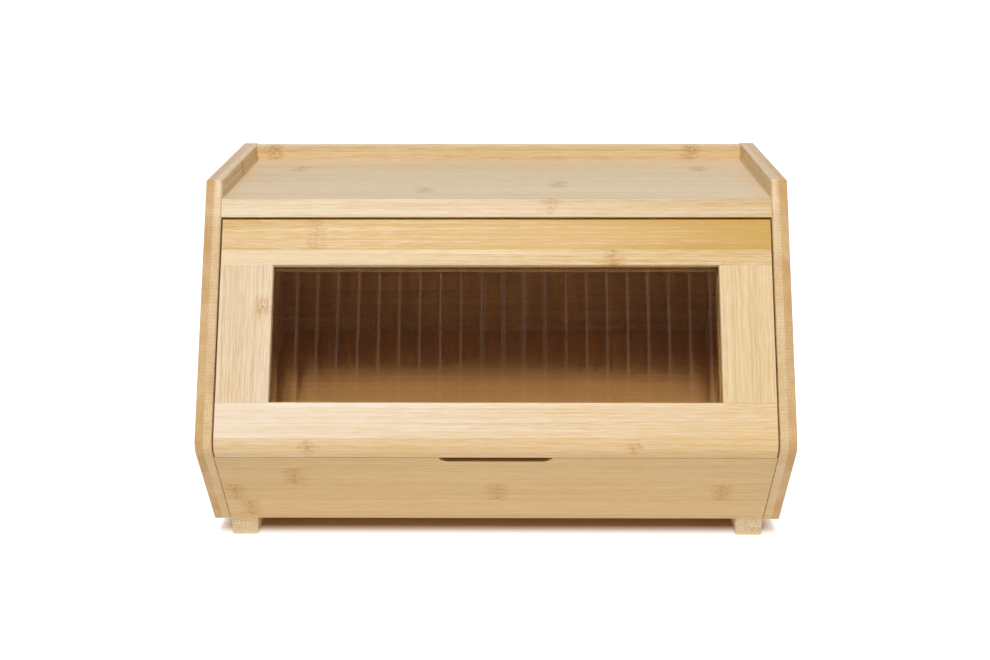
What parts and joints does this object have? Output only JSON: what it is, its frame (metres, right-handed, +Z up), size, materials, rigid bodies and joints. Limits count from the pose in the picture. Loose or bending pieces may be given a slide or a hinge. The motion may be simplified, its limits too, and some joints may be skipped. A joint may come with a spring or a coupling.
{
  "type": "bread box",
  "caption": "Bamboo bread box with a leaning flip-up door that has a reeded clear pane, a shallow drawer under it, and a railed shelf on top.",
  "frame": {"origin": "on the table, under the middle of the whole box", "axes": "+X to the right seen from the front, +Y to the back, +Z up; the door and the drawer face -Y"},
  "size_m": [0.4, 0.252, 0.25],
  "materials": {
    "bamboo": "strip-laminated bamboo under a thin satin varnish",
    "beech": "bare turned dowel",
    "acrylic": "clear, polished, with hollow flutes down its front",
    "steel": "plain steel",
    "bumper_rubber": "soft matt pad"
  },
  "bodies": {
    "cabinet": {"left_side_panel": "bamboo", "right_side_panel": "bamboo", "top_shelf": "bamboo", "bread_floor": "bamboo", "base_panel": "bamboo", "back_panel": "bamboo", "left_foot_runner": "bamboo", "right_foot_runner": "bamboo", "shelf_dowels": "beech", "floor_dowels": "beech", "base_dowels": "beech", "back_dowels": "beech", "foot_screws": "steel", "left_pivot_pin": "steel", "right_pivot_pin": "steel"},
    "door": {"door_top_rail": "bamboo", "door_bottom_rail": "bamboo", "door_left_stile": "bamboo", "door_right_stile": "bamboo", "door_frame_dowels": "beech", "reeded_pane": "acrylic", "pane_bead_top": "bamboo", "pane_bead_bottom": "bamboo", "pane_bead_left": "bamboo", "pane_bead_right": "bamboo", "door_bumpers": "bumper_rubber"},
    "drawer": {"drawer_front": "bamboo", "drawer_left_side": "bamboo", "drawer_right_side": "bamboo", "drawer_back": "bamboo", "drawer_bottom": "bamboo", "drawer_dowels": "beech"}
  },
  "joints": [
    {"name": "door_hinge", "type": "hinge", "parent": "cabinet", "child": "door", "pos_m": [0, -0.05019, 0.21185], "axis": [-1, 0, 0], "range_deg": [0, 110]},
    {"name": "drawer_slide", "type": "slide", "parent": "cabinet", "child": "drawer", "axis": [0, -1, 0], "range_m": [0, 0.14]}
  ]
}
